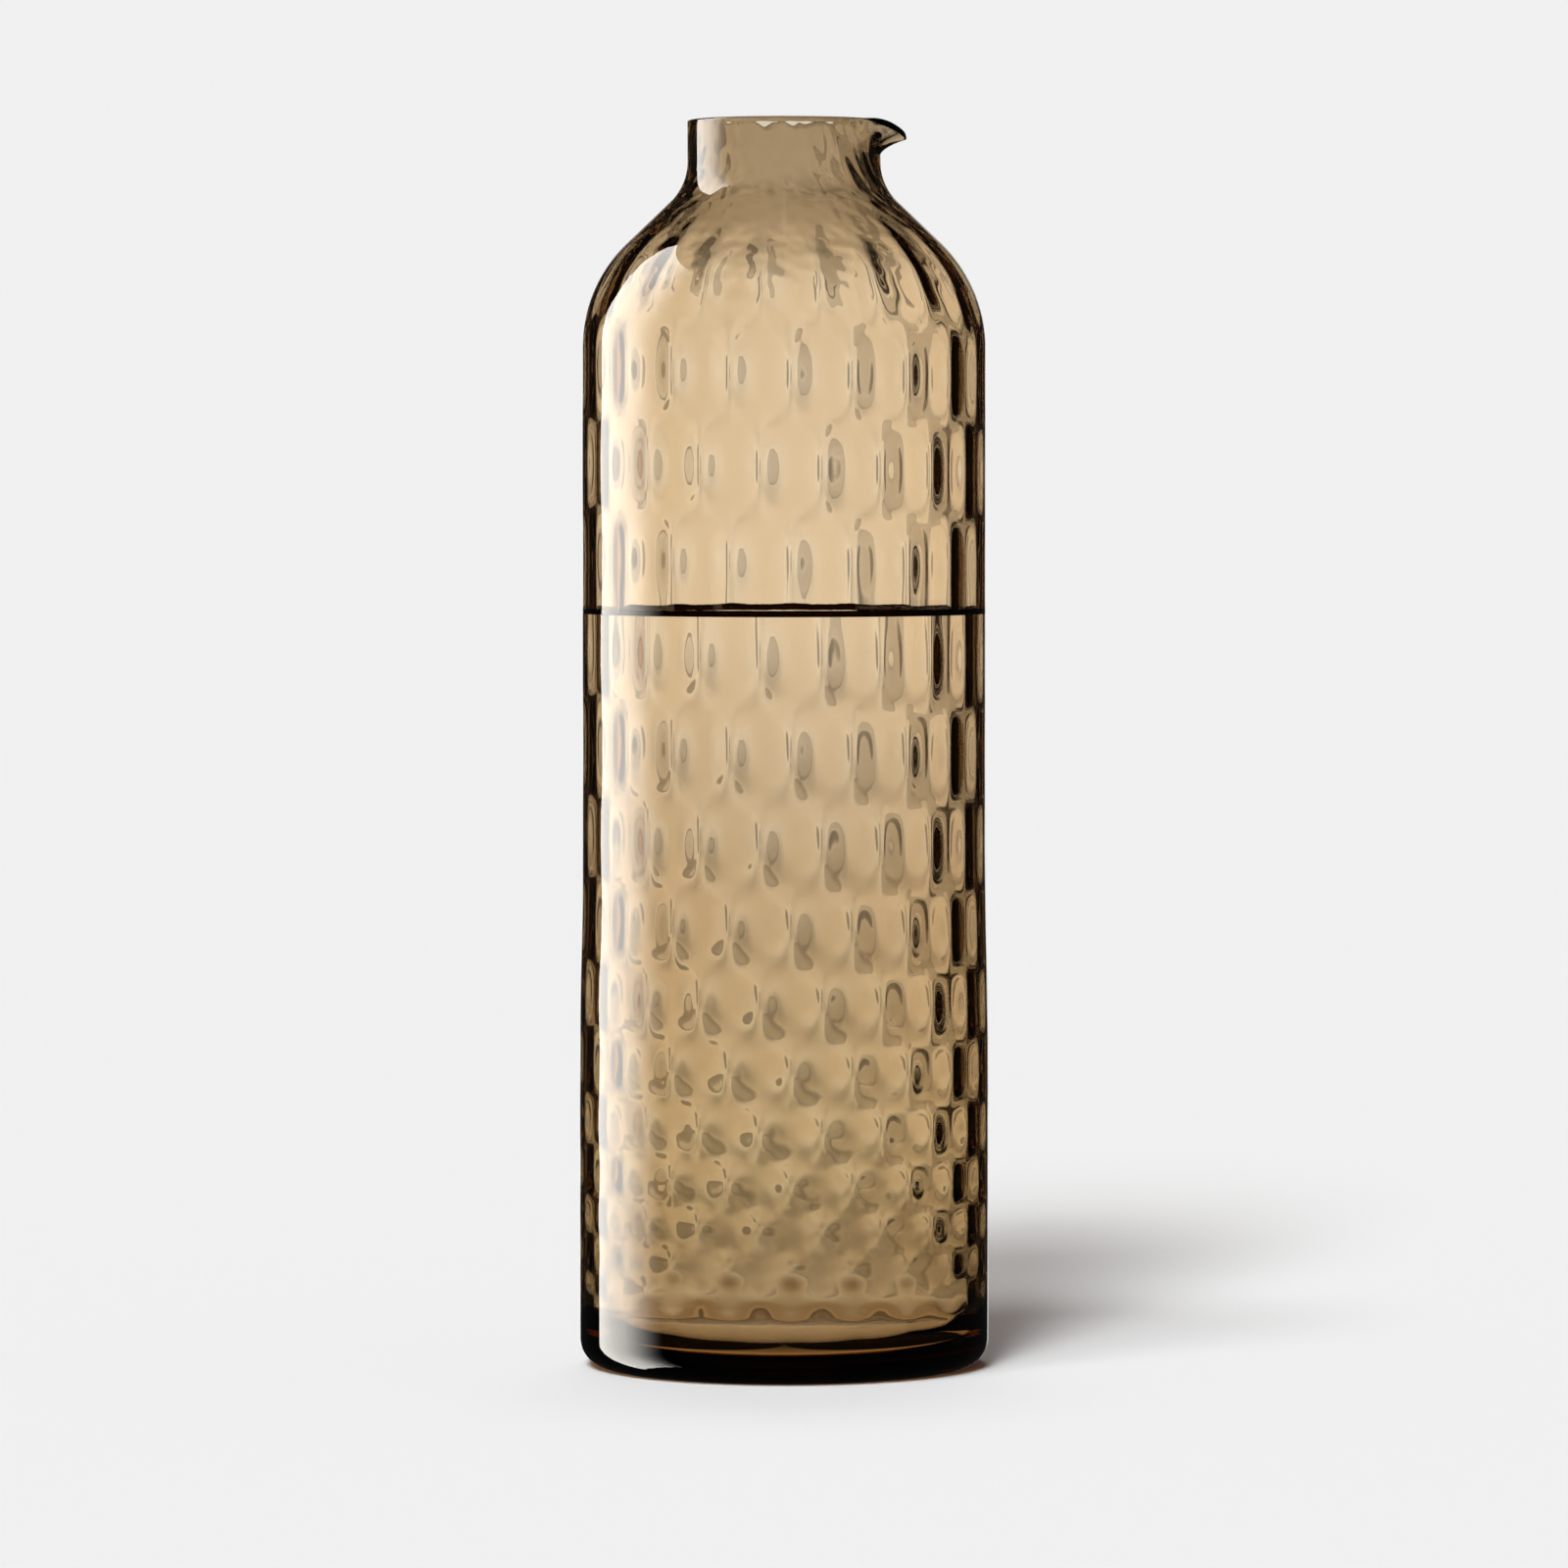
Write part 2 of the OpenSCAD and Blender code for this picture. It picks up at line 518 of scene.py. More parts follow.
@dataclass(frozen=True)
class GlassFinish:
    """Clear coloured glass, tinted through its depth, with painted shade by height that darkens it towards
    the foot and at the neck; low down this also stands in for thicker glass.
    """

    name: str
    tint: Colour
    density: float
    # Colour that the shadow keeps of the light behind the glass
    shade: Colour = (0.59, 0.52, 0.43)
    # Heights with the colour that each surface lets through there, up to the rim. This is painted shade:
    # darker towards the foot, partly also for the thicker glass there, and darker at the neck.
    painted_shade_heights: tuple[tuple[float, Colour], ...] = (
        (0.0, (0.9, 0.9, 0.88)), (0.012, (0.85, 0.83, 0.79)), (0.022, (0.71, 0.67, 0.58)),
        (0.05, (0.845, 0.815, 0.73)), (0.1, (0.865, 0.835, 0.78)), (0.126, (0.89, 0.88, 0.86)),
        (0.155, (0.96, 0.955, 0.95)), (0.172, (1.0, 1.0, 1.0)), (0.244, (0.98, 0.98, 0.98)),
        (0.251, (0.95, 0.95, 0.94)), (0.257, (0.74, 0.73, 0.71)), (0.28, (0.705, 0.693, 0.67)),
    )
    wave_depth: float = 0.02 * MM
    broad_scale: float = 70.0
    ior: float = 1.5

    def build(self, waves: bpy.types.ShaderNodeTree) -> bpy.types.Material:
        """Builds the material.

        Args:
            waves: The group from SurfaceWaves.

        Returns:
            The material.
        """
        material = bpy.data.materials.new(self.name)
        material.use_nodes = True
        tree = material.node_tree
        shader = tree.nodes["Principled BSDF"]
        shader.inputs["Roughness"].default_value = 0.0
        shader.inputs["IOR"].default_value = self.ior
        shader.inputs["Transmission Weight"].default_value = 1.0
        surface = tree.nodes.new("ShaderNodeGroup")
        surface.node_tree = waves
        surface.inputs["Broad Scale"].default_value = self.broad_scale
        self._tint_and_painted_shade(tree, surface)
        self._bump(tree, surface)
        self._shadow(tree)
        self._depth(tree)
        return material

    def _tint_and_painted_shade(self, tree: bpy.types.ShaderNodeTree, surface: bpy.types.ShaderNode) -> None:
        """Joins the waves' tint and the painted shade by height to the shader.

        Args:
            tree: The material's nodes.
            surface: The node with the waves.
        """
        nodes, links = tree.nodes, tree.links
        top = self.painted_shade_heights[-1][0]
        place, where = nodes.new("ShaderNodeTexCoord"), nodes.new("ShaderNodeSeparateXYZ")
        links.new(place.outputs["Object"], where.inputs[0])
        share, painted_shade_ramp = nodes.new("ShaderNodeMapRange"), nodes.new("ShaderNodeValToRGB")
        share.inputs["From Max"].default_value = top
        links.new(where.outputs["Z"], share.inputs["Value"])
        links.new(share.outputs[0], painted_shade_ramp.inputs["Fac"])
        # Painted shade: this ramp darkens the base colour towards the foot and at the neck.
        fill_ramp(painted_shade_ramp.color_ramp, [(height / top, colour) for height, colour in self.painted_shade_heights])
        both = nodes.new("ShaderNodeMix")
        both.data_type = "RGBA"
        both.blend_type = "MULTIPLY"
        both.inputs["Factor"].default_value = 1.0
        links.new(surface.outputs["Tint"], both.inputs["A"])
        links.new(painted_shade_ramp.outputs["Color"], both.inputs["B"])
        links.new(both.outputs["Result"], nodes["Principled BSDF"].inputs["Base Color"])

    def _bump(self, tree: bpy.types.ShaderNodeTree, surface: bpy.types.ShaderNode) -> None:
        """Joins the waves' height to the shader.

        Args:
            tree: The material's nodes.
            surface: The node with the waves.
        """
        bump = tree.nodes.new("ShaderNodeBump")
        bump.inputs["Strength"].default_value = 1.0
        bump.inputs["Distance"].default_value = self.wave_depth
        tree.links.new(surface.outputs["Height"], bump.inputs["Height"])
        tree.links.new(bump.outputs["Normal"], tree.nodes["Principled BSDF"].inputs["Normal"])

    def _shadow(self, tree: bpy.types.ShaderNodeTree) -> None:
        """Lets tinted light through to the shadow.

        Args:
            tree: The material's nodes.
        """
        nodes, links = tree.nodes, tree.links
        path, mix = nodes.new("ShaderNodeLightPath"), nodes.new("ShaderNodeMixShader")
        passed = nodes.new("ShaderNodeBsdfTransparent")
        passed.inputs["Color"].default_value = (*self.shade, 1)
        links.new(path.outputs["Is Shadow Ray"], mix.inputs["Fac"])
        links.new(nodes["Principled BSDF"].outputs["BSDF"], mix.inputs[1])
        links.new(passed.outputs["BSDF"], mix.inputs[2])
        links.new(mix.outputs["Shader"], nodes["Material Output"].inputs["Surface"])

    def _depth(self, tree: bpy.types.ShaderNodeTree) -> None:
        """Tints the light by the depth of glass that it crosses.

        Args:
            tree: The material's nodes.
        """
        depth = tree.nodes.new("ShaderNodeVolumeAbsorption")
        depth.inputs["Color"].default_value = (*self.tint, 1)
        depth.inputs["Density"].default_value = self.density
        tree.links.new(depth.outputs["Volume"], tree.nodes["Material Output"].inputs["Volume"])


def plain_relief(place: Vector) -> float:
    """No relief."""
    return 0.0


def stay(place: Vector) -> Vector:
    """Leaves a point where it is."""
    return place


@dataclass
class GlassPart:
    """A piece of the carafe that stands in for one CAD node."""

    sizes: VesselSizes
    node: ClassVar[str]
    slot: ClassVar[Slot]

    def dress(self, piece: bpy.types.Object, finish: bpy.types.Material) -> None:
        """Gives a piece its finish and stands it in for its CAD node.

        Args:
            piece: What build() gives.
            finish: Its material.
        """
        piece.data.materials.append(finish)
        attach(piece, BODY)
        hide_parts(self.node)


@dataclass
class LowerSection(GlassPart):
    """Thick base and lower body, blown in one piece and dimpled inside."""

    node: ClassVar[str] = "lower_section"
    slot: ClassVar[Slot] = Slot.BODY
    dimples: DimplePattern
    base_t: float = 6 * MM
    corner_r: float = 6.5 * MM
    floor_r: float = 9 * MM
    rest_w: float = 7 * MM
    punt_rise: float = 1.5 * MM
    spread_steps: int = 16
    corner_steps: int = 16

    def side(self, radius_at: Callable[[float], float]) -> list[Point]:
        """Side of the body from the seam down to the foot.

        Args:
            radius_at: Radius of that side at a height.

        Returns:
            Points in order downwards.
        """
        top, end = self.sizes.spread_top, self.sizes.spread_end
        heights = [top + (end - top) * i / self.spread_steps for i in range(self.spread_steps + 1)]
        return [(radius_at(h), h) for h in [self.sizes.seam_low - self.sizes.seam_gap] + heights]

    def build(self) -> bpy.types.Object:
        """Builds the section.

        Returns:
            The new object.
        """
        sizes = self.sizes
        rest_r = sizes.foot_r - self.corner_r
        punt_r = rest_r - self.rest_w
        sphere_r = (punt_r ** 2 + self.punt_rise ** 2) / (2 * self.punt_rise)
        punt_angle = math.degrees(math.asin(punt_r / sphere_r))
        floor_middle = (sizes.inner_r(0) - self.floor_r, self.base_t + self.floor_r)
        punt_middle = (0, self.punt_rise - sphere_r)
        corner = arc((rest_r, self.corner_r), self.corner_r, -90, 0, self.corner_steps)
        floor_corner = arc(floor_middle, self.floor_r, 0, -90, self.corner_steps)
        shell = TurnedShell("lower_glass")
        shell.add(arc(punt_middle, sphere_r, 90, 90 - punt_angle, self.corner_steps))
        shell.add(corner + self.side(sizes.outer_r)[::-1], sizes.outer_step)
        shell.add(self.side(sizes.inner_r) + floor_corner, sizes.inner_step)
        shell.add([(0, self.base_t)])
        rows = self.dimples.rows()
        return shell.build(lambda place: self.dimples.depth_at(place, rows), stay)


@dataclass
class SeamRing(GlassPart):
    """Dark ring between the sections, flush outside and with a half-round bead inside."""

    node: ClassVar[str] = "seam_ring"
    slot: ClassVar[Slot] = Slot.SEAM
    bead_r: float = 0.7 * MM
    bead_steps: int = 24

    def build(self) -> bpy.types.Object:
        """Builds the ring.

        Returns:
            The new object.
        """
        sizes = self.sizes
        inner_r = sizes.body_r - sizes.wall - sizes.seam_gap
        bead_middle = (inner_r, (sizes.seam_low + sizes.seam_high) / 2)
        shell = TurnedShell("seam_glass_ring")
        shell.add([(sizes.body_r, sizes.seam_low), (sizes.body_r, sizes.seam_high)])
        shell.add([(inner_r, sizes.seam_high)])
        shell.add(arc(bead_middle, self.bead_r, 90, 270, self.bead_steps))
        shell.add([(inner_r, sizes.seam_low)])
        return shell.build(plain_relief, stay)


@dataclass
class UpperSection(GlassPart):
    """Upper body, shoulder, neck and pulled spout, blown in one piece."""

    node: ClassVar[str] = "upper_section"
    slot: ClassVar[Slot] = Slot.BODY
    dimples: DimplePattern
    ripples: NeckRipples
    neck_r: float = 21.7 * MM
    neck_h: float = 9.5 * MM
    fillet_r: float = 12 * MM
    shoulder_angle: float = 46.5
    shoulder_r: float = 33 * MM
    # Height of the rounding of the melted lip
    lip_rise: float = 0.55 * MM
    curve_steps: int = 30
    neck_steps: int = 12
    lip_steps: int = 12

    def side(self, inset: float) -> list[Point]:
        """Side of the section from the neck's foot down to the seam.

        Args:
            inset: Distance by which it is drawn in from the outer face.

        Returns:
            Points in order downwards.
        """
        sizes, tilt = self.sizes, math.radians(self.shoulder_angle)
        neck_foot = sizes.height - self.neck_h
        curves_r = self.fillet_r + self.shoulder_r
        slope_run = sizes.body_r - self.neck_r - curves_r * (1 - math.cos(tilt))
        shoulder_h = neck_foot - curves_r * math.sin(tilt) - slope_run / math.tan(tilt)
        under_neck = (self.neck_r + self.fillet_r, neck_foot)
        in_shoulder = (sizes.body_r - self.shoulder_r, shoulder_h)
        steps, angle = self.curve_steps, self.shoulder_angle
        return (
            arc(under_neck, self.fillet_r + inset, 180, 180 + angle, steps)
            + arc(in_shoulder, self.shoulder_r - inset, angle, 0, steps)
            + [(sizes.body_r - inset, sizes.seam_high + sizes.seam_gap)]
        )

    def build(self) -> bpy.types.Object:
        """Builds the section.

        Returns:
            The new object.
        """
        sizes, lip_r = self.sizes, self.sizes.wall / 2
        neck_foot, lip_h = sizes.height - self.neck_h, sizes.height - self.lip_rise
        rises = [neck_foot + (lip_h - neck_foot) * i / self.neck_steps for i in range(1, self.neck_steps)]
        lip = arc((self.neck_r - lip_r, 0), lip_r, 0, 180, self.lip_steps)
        shell = TurnedShell("upper_glass")
        shell.add(self.side(0)[::-1], sizes.outer_step)
        shell.add([(self.neck_r, height) for height in rises])
        shell.add([(radius, lip_h + up * self.lip_rise / lip_r) for radius, up in lip])
        shell.add([(self.neck_r - sizes.wall, height) for height in rises[::-1]])
        shell.add(self.side(sizes.wall), sizes.inner_step)
        rows = self.dimples.rows()
        pull = SpoutPull(self.neck_r, sizes.wall, sizes.height)

        def relief(place: Vector) -> float:
            """Dimples and ripples together."""
            return self.dimples.depth_at(place, rows) + self.ripples.depth_at(place)

        return shell.build(relief, pull.moved)


@dataclass(frozen=True)
class PhotoCamera:
    """Camera at the photograph's distance and eye level, pointed at the axis of the carafe."""

    distance: float = 1.828
    eye_h: float = 204 * MM
    aim_h: float = 131.0 * MM
    frame_width: float = 352.4 * MM
    sensor: float = 36.0

    def build(self) -> None:
        """Makes the camera and sets it as the scene's."""
        data = bpy.data.cameras.new("photo_camera")
        data.sensor_width = self.sensor
        away = Vector((0, self.distance, self.aim_h - self.eye_h))
        data.lens = self.sensor * away.length / self.frame_width
        camera = bpy.data.objects.new("photo_camera", data)
        camera.location = (0, -self.distance, self.eye_h)
        camera.rotation_euler = away.to_track_quat("-Z", "Y").to_euler()
        bpy.context.scene.collection.objects.link(camera)
        bpy.context.scene.camera = camera


@dataclass(frozen=True)
class Ease:
    """An eased change from one level to another, between two angles in degrees."""

    start: float
    end: float
    before: float = 0.0
    after: float = 1.0


@dataclass(frozen=True)
class ShaderSums:
    """Sums on the sockets of one node tree."""

    tree: bpy.types.ShaderNodeTree

    def add(self, operation: str, first: Value, second: Value | None = None) -> bpy.types.NodeSocket:
        """Adds a Math node.

        Args:
            operation: What it works out.
            first: Its first value, a socket or a number.
            second: Its second value, where the operation has one.

        Returns:
            The socket with the result.
        """
        node = self.tree.nodes.new("ShaderNodeMath")
        node.operation = operation
        for index, value in enumerate((first, second)):
            if isinstance(value, bpy.types.NodeSocket):
                self.tree.links.new(value, node.inputs[index])
            elif value is not None:
                node.inputs[index].default_value = value
        return node.outputs[0]

    def product(self, *values: Value) -> bpy.types.NodeSocket:
        """Multiplies the values together."""
        return reduce(lambda first, second: self.add("MULTIPLY", first, second), values)

    def largest(self, *values: Value) -> bpy.types.NodeSocket:
        """Takes the largest of the values."""
        return reduce(lambda first, second: self.add("MAXIMUM", first, second), values)

    def eased(self, angle: bpy.types.NodeSocket, ease: Ease) -> bpy.types.NodeSocket:
        """Eases from one level to another with an angle.

        Args:
            angle: The angle, in radians.
            ease: The angles between which it changes, and both levels.

        Returns:
            The socket with the level.
        """
        node = self.tree.nodes.new("ShaderNodeMapRange")
        node.interpolation_type = "SMOOTHSTEP"
        for label, given in (("From Min", math.radians(ease.start)), ("From Max", math.radians(ease.end)),
                             ("To Min", ease.before), ("To Max", ease.after)):
            node.inputs[label].default_value = given
        self.tree.links.new(angle, node.inputs["Value"])
        return node.outputs[0]

    def ramped(self, share: bpy.types.NodeSocket, stops: list[Point]) -> bpy.types.NodeSocket:
        """Looks a share up on a ramp of greys.

        Args:
            share: The share, from 0 to 1.
            stops: Places from 0 to 1 in order, with a grey each.

        Returns:
            The socket with the grey.
        """
        ramp = self.tree.nodes.new("ShaderNodeValToRGB")
        fill_grey_ramp(ramp.color_ramp, stops)
        self.tree.links.new(share, ramp.inputs["Fac"])
        return ramp.outputs["Color"]


@dataclass(frozen=True)
class KeyLight:
    """A soft sun: where it stands, in degrees, and its share of the floor's light.

    The azimuth is the angle round the axis from the camera's side, positive to the right.
    """

    azimuth: float
    height: float
    share: float


@dataclass(frozen=True)
class Room:
    """World that is pale to the camera, soft to the floor, and a ring of pale panels to the glass.

    Turns are angles round the axis from straight behind the carafe, positive to the right, and rises
    are angles above the horizon, all in degrees.
    """

    pale: float = 0.875
    ambient: float = 0.06
    panel_level: float = 1.38
    dark_level: float = 0.012
    # One panel of the ring, from the dark gap at its left to the one at its right
    panel_spacing: float = 45.0
    panel_shares: tuple[Point, ...] = (
        (-22.5, 0.0), (-15, 0.3), (-12.5, 0.55), (-8.6, 0.45), (-8, 0.6), (-7.5, 1.08), (-5, 1.0),
        (3.8, 1.0), (4.6, 1.08), (5.3, 0.62), (6.3, 0.7), (12.6, 0.7), (13.2, 0.78), (13.8, 0.35),
        (17, 0.12), (19.5, 0.02), (22.5, 0.0)
    )
    # Level of the panels from straight below to straight above
    rise_shares: tuple[Point, ...] = (
        (-90, 0.04), (-45, 0.35), (-25, 0.66), (-14, 0.84), (-9, 0.9), (-6, 0.94), (-3, 0.975), (0, 1.0),
        (3, 0.98), (9, 0.8), (15, 0.6), (90, 0.25)
    )
    # Turn of the middle of a broad panel at the left, and its level by the angle off that middle
    left_panel_turn: float = -33.0
    left_panel: Ease = Ease(23, 20, after=0.82)
    # The room is darker low down at the right, and its gaps are paler low down straight behind
    low_down: Ease = Ease(3, -9)
    right_loss: Ease = Ease(-4, 3.5, after=0.36)
    right_loss_end: Ease = Ease(7.5, 5, before=0.3)
    gap_fill: Ease = Ease(19, 14, after=0.5)
    # Far below the horizon the table shows all round
    table: Ease = Ease(-9, -14)
    # The outer face mirrors only what is nearly straight behind it and clear of the table
    mirrored_turn: Ease = Ease(14, 9)
    mirrored_rise: Ease = Ease(-9, -7)

    def build(self) -> None:
        """Builds the world."""
        world = bpy.data.worlds.new("studio")
        bpy.context.scene.world = world
        world.use_nodes = True
        tree = world.node_tree
        sums = ShaderSums(tree)
        place, where = tree.nodes.new("ShaderNodeTexCoord"), tree.nodes.new("ShaderNodeSeparateXYZ")
        tree.links.new(place.outputs["Generated"], where.inputs[0])
        turn = sums.add("ARCTAN2", where.outputs["X"], where.outputs["Y"])
        rise = sums.add("ARCSINE", where.outputs["Z"])
        path = tree.nodes.new("ShaderNodeLightPath")
        height_share = sums.add("ADD", sums.add("DIVIDE", rise, math.pi), 0.5)
        level = sums.ramped(height_share, [((angle + 90) / 180, share) for angle, share in self.rise_shares])
        panels = sums.product(self._round(sums, turn, rise), level, self._mirrored(sums, path, turn, rise))
        glass_sees = sums.largest(sums.product(panels, self.panel_level), self.dark_level)
        floor_sees = sums.product(path.outputs["Is Diffuse Ray"], self.ambient)
        camera_sees = sums.product(path.outputs["Is Camera Ray"], self.pale)
        plain = sums.largest(path.outputs["Is Diffuse Ray"], path.outputs["Is Camera Ray"])
        through_glass = sums.product(sums.add("SUBTRACT", 1.0, plain), glass_sees)
        total = sums.add("ADD", sums.add("ADD", floor_sees, camera_sees), through_glass)
        tree.links.new(total, tree.nodes["Background"].inputs["Strength"])
        tree.nodes["Background"].inputs["Color"].default_value = (1, 1, 1, 1)

    def _round(self, sums: ShaderSums, turn: bpy.types.NodeSocket,
               rise: bpy.types.NodeSocket) -> bpy.types.NodeSocket:
        """Share of light that the panels show all round, before it changes with the rise alone.

        Args:
            sums: Sums on the world's nodes.
            turn: The turn, in radians.
            rise: The rise, in radians.

        Returns:
            The socket with the share.
        """
        spacing = math.radians(self.panel_spacing)
        within = sums.add("FLOORED_MODULO", sums.add("ADD", turn, spacing / 2), spacing)
        stops = [(angle / self.panel_spacing + 0.5, share) for angle, share in self.panel_shares]
        ring = sums.ramped(sums.add("DIVIDE", within, spacing), stops)
        off_left = sums.add("ABSOLUTE", sums.add("SUBTRACT", turn, math.radians(self.left_panel_turn)))
        panels = sums.largest(ring, sums.eased(off_left, self.left_panel))
        low = sums.eased(rise, self.low_down)
        loss = sums.product(sums.eased(turn, self.right_loss), sums.eased(turn, self.right_loss_end), low)
        uneven = sums.product(panels, sums.add("SUBTRACT", 1.0, loss))
        gap_fill = sums.product(low, sums.eased(sums.add("ABSOLUTE", turn), self.gap_fill))
        return sums.largest(uneven, sums.eased(rise, self.table), gap_fill)

    def _mirrored(self, sums: ShaderSums, path: bpy.types.ShaderNode, turn: bpy.types.NodeSocket,
                  rise: bpy.types.NodeSocket) -> bpy.types.NodeSocket:
        """Share that a mirrored ray sees of the panels.

        Args:
            sums: Sums on the world's nodes.
            path: The node with the ray's path.
            turn: The turn, in radians.
            rise: The rise, in radians.

        Returns:
            The socket with the share, which is 1 for a ray that isn't mirrored.
        """
        unmirrored = sums.add("SUBTRACT", 1.0, sums.add("MINIMUM", path.outputs["Glossy Depth"], 1.0))
        inside = sums.add("MINIMUM", path.outputs["Transmission Depth"], 1.0)
        by_turn = sums.largest(unmirrored, sums.eased(sums.add("ABSOLUTE", turn), self.mirrored_turn))
        by_rise = sums.largest(unmirrored, inside, sums.eased(rise, self.mirrored_rise))
        return sums.product(by_turn, by_rise)


@dataclass(frozen=True)
class Floor:
    """Pale floor that keeps the shadow, and far off takes on the level of the world behind it."""

    pale: float = 0.871
    reach: float = 6.0
    # Distances from the carafe between which it goes over to the world's level
    fade: tuple[float, float] = (1.2, 4.5)

    def build(self, world_level: float) -> None:
        """Builds the floor.

        Args:
            world_level: Level that the world shows to the camera.
        """
        mesh = bmesh.new()
        bmesh.ops.create_grid(mesh, x_segments=1, y_segments=1, size=self.reach)
        floor = link_mesh("floor", mesh)
        floor.data.materials.append(self._finish(world_level))
        floor.visible_glossy = False
        floor.visible_transmission = False

    def _finish(self, world_level: float) -> bpy.types.Material:
        """Builds the floor's material.

        Args:
            world_level: Level that the world shows to the camera.

        Returns:
            The material.
        """
        material = bpy.data.materials.new("floor")
        material.use_nodes = True
        nodes, links = material.node_tree.nodes, material.node_tree.links
        shader = nodes["Principled BSDF"]
        shader.inputs["Base Color"].default_value = (self.pale, self.pale, self.pale, 1)
        shader.inputs["Roughness"].default_value = 1.0
        shader.inputs["Specular IOR Level"].default_value = 0.0
        place, far = nodes.new("ShaderNodeTexCoord"), nodes.new("ShaderNodeVectorMath")
        far.operation = "LENGTH"
        links.new(place.outputs["Object"], far.inputs[0])
        fade = nodes.new("ShaderNodeMapRange")
        fade.interpolation_type = "SMOOTHSTEP"
        fade.inputs["From Min"].default_value, fade.inputs["From Max"].default_value = self.fade
        links.new(far.outputs["Value"], fade.inputs["Value"])
        path, glow = nodes.new("ShaderNodeLightPath"), nodes.new("ShaderNodeEmission")
        seen = ShaderSums(material.node_tree).product(path.outputs["Is Camera Ray"], world_level)
        links.new(seen, glow.inputs["Strength"])
        mix = nodes.new("ShaderNodeMixShader")
        links.new(fade.outputs[0], mix.inputs["Fac"])
        links.new(shader.outputs["BSDF"], mix.inputs[1])
        links.new(glow.outputs["Emission"], mix.inputs[2])
        links.new(mix.outputs["Shader"], nodes["Material Output"].inputs["Surface"])
        return material


@dataclass(frozen=True)
class Softbox:
    """Curved softbox at the left, with a hard edge at the back and a soft one at the front.

    Only the glass sees it. Its turns are angles from straight behind the carafe, in degrees.
    """

    back_turn: float = -54.0
    front_turn: float = -118.0
    radius: float = 1.2
    bottom: float = -1.2
    top: float = 1.6
    steps: int = 48
    colour: Colour = (1.0, 0.96, 0.9)
    # Level in the outer face's reflection, and to rays that have been inside the glass
    level: Ease = Ease(-110, -76, after=7.6)
    level_inside: float = 1.3

    def build(self) -> None:
        """Builds the softbox."""
        mesh = bmesh.new()
        start, end = math.radians(-self.back_turn), math.radians(-self.front_turn)
        first = (-self.radius * math.sin(start), self.radius * math.cos(start))
        low = mesh.verts.new((*first, self.bottom))
        high = mesh.verts.new((*first, self.top))
        edge = mesh.edges.new((low, high))
        bmesh.ops.spin(mesh, geom=[low, high, edge], cent=(0, 0, 0), axis=(0, 0, 1), angle=end - start,
                       steps=self.steps)
        box = link_mesh("softbox", mesh)
        box.data.materials.append(self._finish())
        box.visible_camera = False
        box.visible_diffuse = False
        box.visible_shadow = False

    def _finish(self) -> bpy.types.Material:
        """Builds the glowing material.

        Returns:
            The material.
        """
        material = bpy.data.materials.new("softbox")
        material.use_nodes = True
        nodes, links = material.node_tree.nodes, material.node_tree.links
        nodes.remove(nodes["Principled BSDF"])
        glow = nodes.new("ShaderNodeEmission")
        glow.inputs["Color"].default_value = (*self.colour, 1)
        place, where = nodes.new("ShaderNodeTexCoord"), nodes.new("ShaderNodeSeparateXYZ")
        links.new(place.outputs["Object"], where.inputs[0])
        sums = ShaderSums(material.node_tree)
        level = sums.eased(sums.add("ARCTAN2", where.outputs["X"], where.outputs["Y"]), self.level)
        path, inside = nodes.new("ShaderNodeLightPath"), nodes.new("ShaderNodeMapRange")
        links.new(level, inside.inputs["To Min"])
        inside.inputs["To Max"].default_value = self.level_inside
        links.new(path.outputs["Transmission Depth"], inside.inputs["Value"])
        links.new(inside.outputs[0], glow.inputs["Strength"])
        links.new(glow.outputs[0], nodes["Material Output"].inputs["Surface"])
        return material


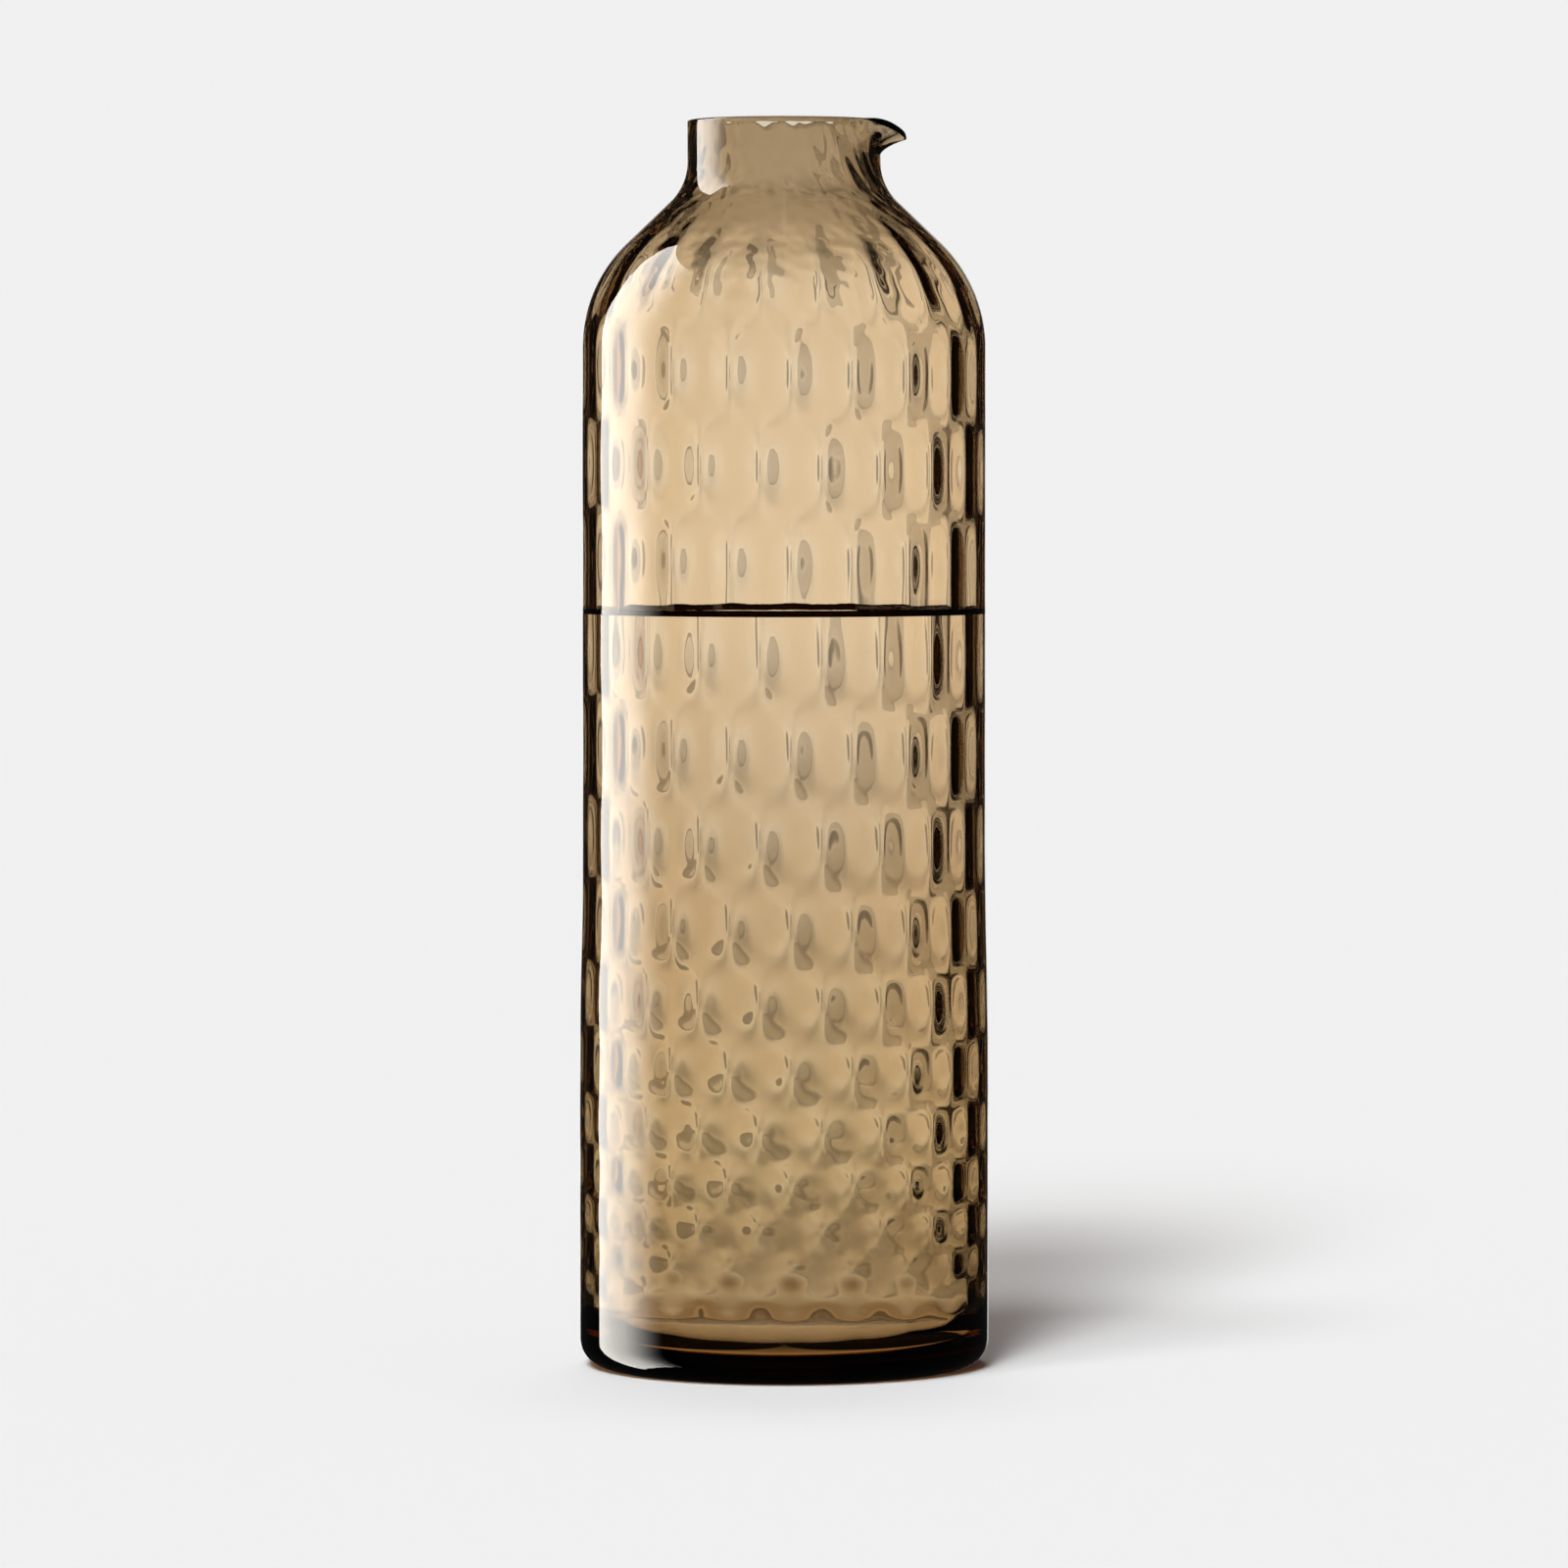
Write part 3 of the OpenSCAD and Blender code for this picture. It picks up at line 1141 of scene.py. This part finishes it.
@dataclass(frozen=True)
class Studio:
    """Plain pale room: the world, a floor, soft light from the front and left, and a softbox at the left."""

    room: Room = Room()
    floor: Floor = Floor()
    softbox: Softbox = Softbox()
    key_lights: tuple[KeyLight, ...] = (
        KeyLight(-12, 34, 0.3), KeyLight(-15, 42, 0.28), KeyLight(-36, 62, 0.24), KeyLight(180, 76, 0.12)
    )
    key_spread: float = math.radians(15)
    bounces: int = 24
    glossy_bounces: int = 12

    def build(self) -> None:
        """Builds the room and sets how far light is followed."""
        self.room.build()
        self.floor.build(self.room.pale)
        for light in self.key_lights:
            self._key(light)
        self.softbox.build()
        cycles = bpy.context.scene.cycles
        cycles.max_bounces = self.bounces
        cycles.transmission_bounces = self.bounces
        cycles.glossy_bounces = self.glossy_bounces
        cycles.caustics_reflective = False
        cycles.caustics_refractive = False
        bpy.context.scene.view_settings.view_transform = "Standard"

    def _key(self, key: KeyLight) -> None:
        """Adds one soft sun, which the glass doesn't show.

        Args:
            key: The way it comes from, its height and its share.
        """
        turn, rise = math.radians(key.azimuth), math.radians(key.height)
        light = bpy.data.lights.new("key", "SUN")
        light.energy = key.share * math.pi / math.sin(rise)
        light.angle = self.key_spread
        lamp = bpy.data.objects.new("key", light)
        level = math.cos(rise)
        to_light = Vector((math.sin(turn) * level, -math.cos(turn) * level, math.sin(rise)))
        lamp.rotation_euler = to_light.to_track_quat("Z", "Y").to_euler()
        lamp.visible_glossy = False
        lamp.visible_transmission = False
        bpy.context.scene.collection.objects.link(lamp)


def main() -> None:
    """Builds the camera, the room and the three pieces of the carafe."""
    logging.basicConfig(level=logging.INFO, format="%(name)s: %(message)s")
    PhotoCamera().build()
    Studio().build()
    sizes, dimples = VesselSizes.from_frame(), DimplePattern()
    waves = SurfaceWaves().build()
    smoke = GlassFinish("smoke_brown_glass", tint=(0.667, 0.443, 0.071), density=210).build(waves)
    seam = GlassFinish("seam_glass", tint=(0.5, 0.35, 0.1), density=2400).build(waves)
    lower, upper = LowerSection(sizes, dimples), UpperSection(sizes, dimples, NeckRipples())
    for part, finish in ((lower, smoke), (SeamRing(sizes), seam), (upper, smoke)):
        piece = part.build()
        part.dress(piece, finish)
        triangles = sum(len(face.vertices) - 2 for face in piece.data.polygons)
        LOG.info("%s: %d triangles, stands for %s", piece.name, triangles, part.node)


if __name__ == "__main__":
    main()
